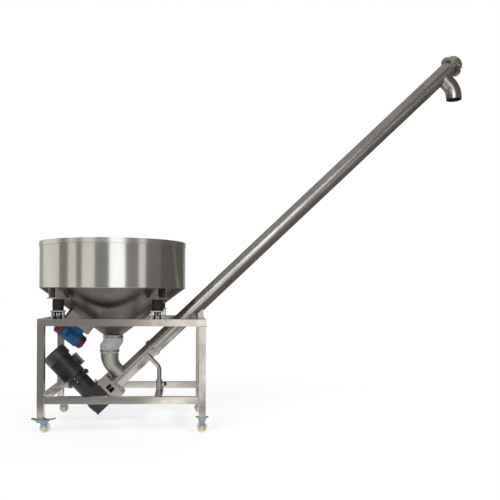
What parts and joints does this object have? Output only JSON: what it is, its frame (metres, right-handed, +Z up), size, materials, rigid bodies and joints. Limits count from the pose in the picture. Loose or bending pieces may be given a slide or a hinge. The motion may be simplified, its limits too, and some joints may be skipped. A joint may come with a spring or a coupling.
{
  "type": "screw conveyor",
  "caption": "Mobile inclined screw conveyor: round vibrated hopper on a castered tube frame feeding a long tube auger with an elbow discharge spout.",
  "frame": {"origin": "on the floor, under the middle of the machine's whole length and width", "axes": "+X along the frame towards the discharge spout, +Y away from the operator's side, +Z up"},
  "size_m": [3.2825, 1.118, 2.8695],
  "materials": {
    "frame_tube": "satin stainless square tube",
    "hopper_sheet": "bright polished stainless sheet",
    "pipe": "satin stainless pipe",
    "stainless_plate": "satin stainless plate",
    "bright_steel": "bright machined steel",
    "zinc": "bluish zinc plating",
    "rubber": "matt black rubber",
    "sleeve": "coated grey cloth",
    "black_enamel": "semi-gloss black enamel",
    "blue_enamel": "gloss blue enamel",
    "red_enamel": "gloss dark red enamel",
    "wheel_plastic": "cream moulded nylon",
    "black_plastic": "black moulded plastic"
  },
  "bodies": {
    "frame": {"frame_posts": "frame_tube", "top_long_rails": "frame_tube", "lower_long_rails": "frame_tube", "end_rails": "frame_tube", "cross_rail": "frame_tube", "tube_end_plates": "frame_tube", "caster_races": "zinc", "spring_seats": "frame_tube", "rubber_springs": "rubber", "tube_saddle": "stainless_plate", "strut_rod": "pipe", "strut_sleeve": "pipe", "inlet_tube": "pipe", "inlet_elbow": "pipe", "conveyor_tube": "pipe", "conveyor_head": "pipe", "discharge_spout": "pipe", "joint_collar": "stainless_plate", "end_clamp": "stainless_plate", "clamp_bolts": "bright_steel", "flexible_sleeve": "sleeve", "sleeve_clamp_lower": "bright_steel", "lantern_housing": "stainless_plate", "lantern_bolts": "bright_steel", "gearbox_housing": "black_enamel", "gearbox_cover": "black_enamel", "motor_end_shield": "black_enamel", "motor_frame": "black_enamel", "motor_fan_cover": "black_enamel", "motor_terminal_box": "black_enamel", "tube_end_cap": "stainless_plate", "shaft_bearings": "bright_steel", "caster_fork_front_right": "zinc", "caster_fork_rear_right": "zinc"},
    "hopper": {"hopper_drum": "hopper_sheet", "hopper_rim": "hopper_sheet", "hopper_cone": "hopper_sheet", "hopper_lugs": "stainless_plate", "vibrator_bracket": "stainless_plate", "vibrator_case": "blue_enamel", "vibrator_covers": "red_enamel", "sleeve_clamp_upper": "bright_steel"},
    "vibrator_shaft": {"vibrator_rotor": "bright_steel"},
    "auger": {"auger_shaft": "pipe", "auger_flight": "stainless_plate", "shaft_coupling": "bright_steel", "crown_wheel_shaft": "bright_steel"},
    "motor_rotor": {"motor_rotor": "bright_steel", "motor_fan": "black_plastic"},
    "wing_nut": {"wing_nut": "bright_steel"},
    "hand_screw": {"hand_screw": "black_plastic"},
    "wheel_front_left": {"caster_wheel_front_left": "wheel_plastic"},
    "fork_front_left": {"caster_fork_front_left": "zinc"},
    "pedal_front_left": {"brake_pedal_front_left": "zinc"},
    "wheel_front_right": {"caster_wheel_front_right": "wheel_plastic"},
    "wheel_rear_left": {"caster_wheel_rear_left": "wheel_plastic"},
    "fork_rear_left": {"caster_fork_rear_left": "zinc"},
    "pedal_rear_left": {"brake_pedal_rear_left": "zinc"},
    "wheel_rear_right": {"caster_wheel_rear_right": "wheel_plastic"}
  },
  "joints": [
    {"name": "hopper_bounce", "type": "slide", "parent": "frame", "child": "hopper", "axis": [0, 0, 1], "range_m": [-0.003, 0.003], "stiffness_N_per_m": 160000, "springref_m": 0.00367, "deforming": ["rubber_springs", "flexible_sleeve"]},
    {"name": "vibrator_spin", "type": "hinge", "parent": "hopper", "child": "vibrator_shaft", "pos_m": [-1.39963, -0.13106, 0.68545], "axis": [-0.7371, -0.3129, 0.5989], "continuous": true},
    {"name": "auger_spin", "type": "hinge", "parent": "frame", "child": "auger", "pos_m": [-1.06987, 0, 0.3015], "axis": [0.7254, 0, 0.6884], "continuous": true},
    {"name": "motor_spin", "type": "hinge", "parent": "frame", "child": "motor_rotor", "pos_m": [-1.20697, 0, 0.1714], "axis": [-0.6884, 0, 0.7254], "continuous": true},
    {"name": "wing_nut_turn", "type": "hinge", "parent": "frame", "child": "wing_nut", "pos_m": [1.56395, -0.101, 2.77333], "axis": [0.6884, 0, -0.7254], "continuous": true},
    {"name": "hand_screw_turn", "type": "hinge", "parent": "frame", "child": "hand_screw", "pos_m": [-0.70199, -0.048, 0.299], "axis": [1, 0, 0], "continuous": true},
    {"name": "swivel_front_left", "type": "hinge", "parent": "frame", "child": "fork_front_left", "pos_m": [-1.56387, -0.365, 0.102], "axis": [0, 0, 1], "continuous": true},
    {"name": "roll_front_left", "type": "hinge", "parent": "fork_front_left", "child": "wheel_front_left", "pos_m": [-1.53587, -0.365, 0.0375], "axis": [0, 1, 0], "continuous": true},
    {"name": "brake_front_left", "type": "hinge", "parent": "fork_front_left", "child": "pedal_front_left", "pos_m": [-1.54387, -0.365, 0.082], "axis": [0, 1, 0], "range_deg": [0, 10]},
    {"name": "roll_front_right", "type": "hinge", "parent": "frame", "child": "wheel_front_right", "pos_m": [-0.41387, -0.365, 0.0375], "axis": [0, 1, 0], "continuous": true},
    {"name": "swivel_rear_left", "type": "hinge", "parent": "frame", "child": "fork_rear_left", "pos_m": [-1.56387, 0.365, 0.102], "axis": [0, 0, 1], "continuous": true},
    {"name": "roll_rear_left", "type": "hinge", "parent": "fork_rear_left", "child": "wheel_rear_left", "pos_m": [-1.53756, 0.37458, 0.0375], "axis": [-0.342, 0.9397, 0], "continuous": true},
    {"name": "brake_rear_left", "type": "hinge", "parent": "fork_rear_left", "child": "pedal_rear_left", "pos_m": [-1.54508, 0.37184, 0.082], "axis": [-0.342, 0.9397, 0], "range_deg": [0, 10]},
    {"name": "roll_rear_right", "type": "hinge", "parent": "frame", "child": "wheel_rear_right", "pos_m": [-0.41387, 0.365, 0.0375], "axis": [0, 1, 0], "continuous": true}
  ],
  "couplings": [
    {"joint": "motor_spin", "follows": "auger_spin", "ratio": -5}
  ]
}
